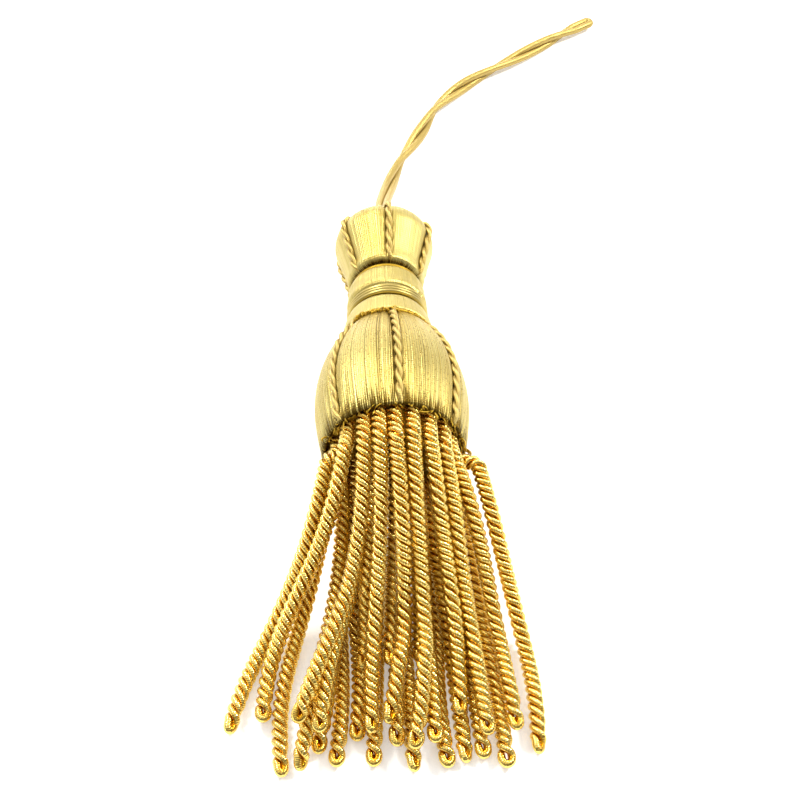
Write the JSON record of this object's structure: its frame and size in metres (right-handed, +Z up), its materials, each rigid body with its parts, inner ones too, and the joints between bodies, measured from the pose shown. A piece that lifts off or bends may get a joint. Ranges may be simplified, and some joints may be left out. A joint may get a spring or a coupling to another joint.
{
  "type": "bullion_tassel",
  "caption": "Bullion tassel: a thread-covered knob, neck and bell with twisted cord ribs, a fringe of twisted bullion strands from the bell's mouth, and a doubled hanging cord.",
  "frame": {"origin": "Middle of the footprint of the head and the fringe, on the table.", "axes": "+Y runs from the fringe's tips to the knob and the hanging cord, +X is to the right seen from the fringe's end, +Z is up."},
  "size_m": [0.0913, 0.2148, 0.033],
  "materials": {
    "covering_thread": "fine metallic gold thread, laid lengthwise",
    "rib_cord": "two-ply gold gimp, soft sheen",
    "binding_wire": "dull gold wire, wound close",
    "bullion": "two-ply bullion wound with bright gold wire",
    "hang_cord": "satin gold cord"
  },
  "bodies": {
    "root": {"hang_cord": "hang_cord", "knob": "covering_thread", "knob_rib_1": "rib_cord", "knob_rib_2": "rib_cord", "knob_rib_3": "rib_cord", "knob_rib_4": "rib_cord", "knob_rib_5": "rib_cord", "knob_rib_6": "rib_cord", "neck": "covering_thread", "neck_binding": "binding_wire", "bell": "covering_thread", "bell_rib_1": "rib_cord", "bell_rib_2": "rib_cord", "bell_rib_3": "rib_cord", "bell_rib_4": "rib_cord", "bell_rib_5": "rib_cord", "bell_rib_6": "rib_cord", "fringe": "bullion"}
  },
  "joints": []
}
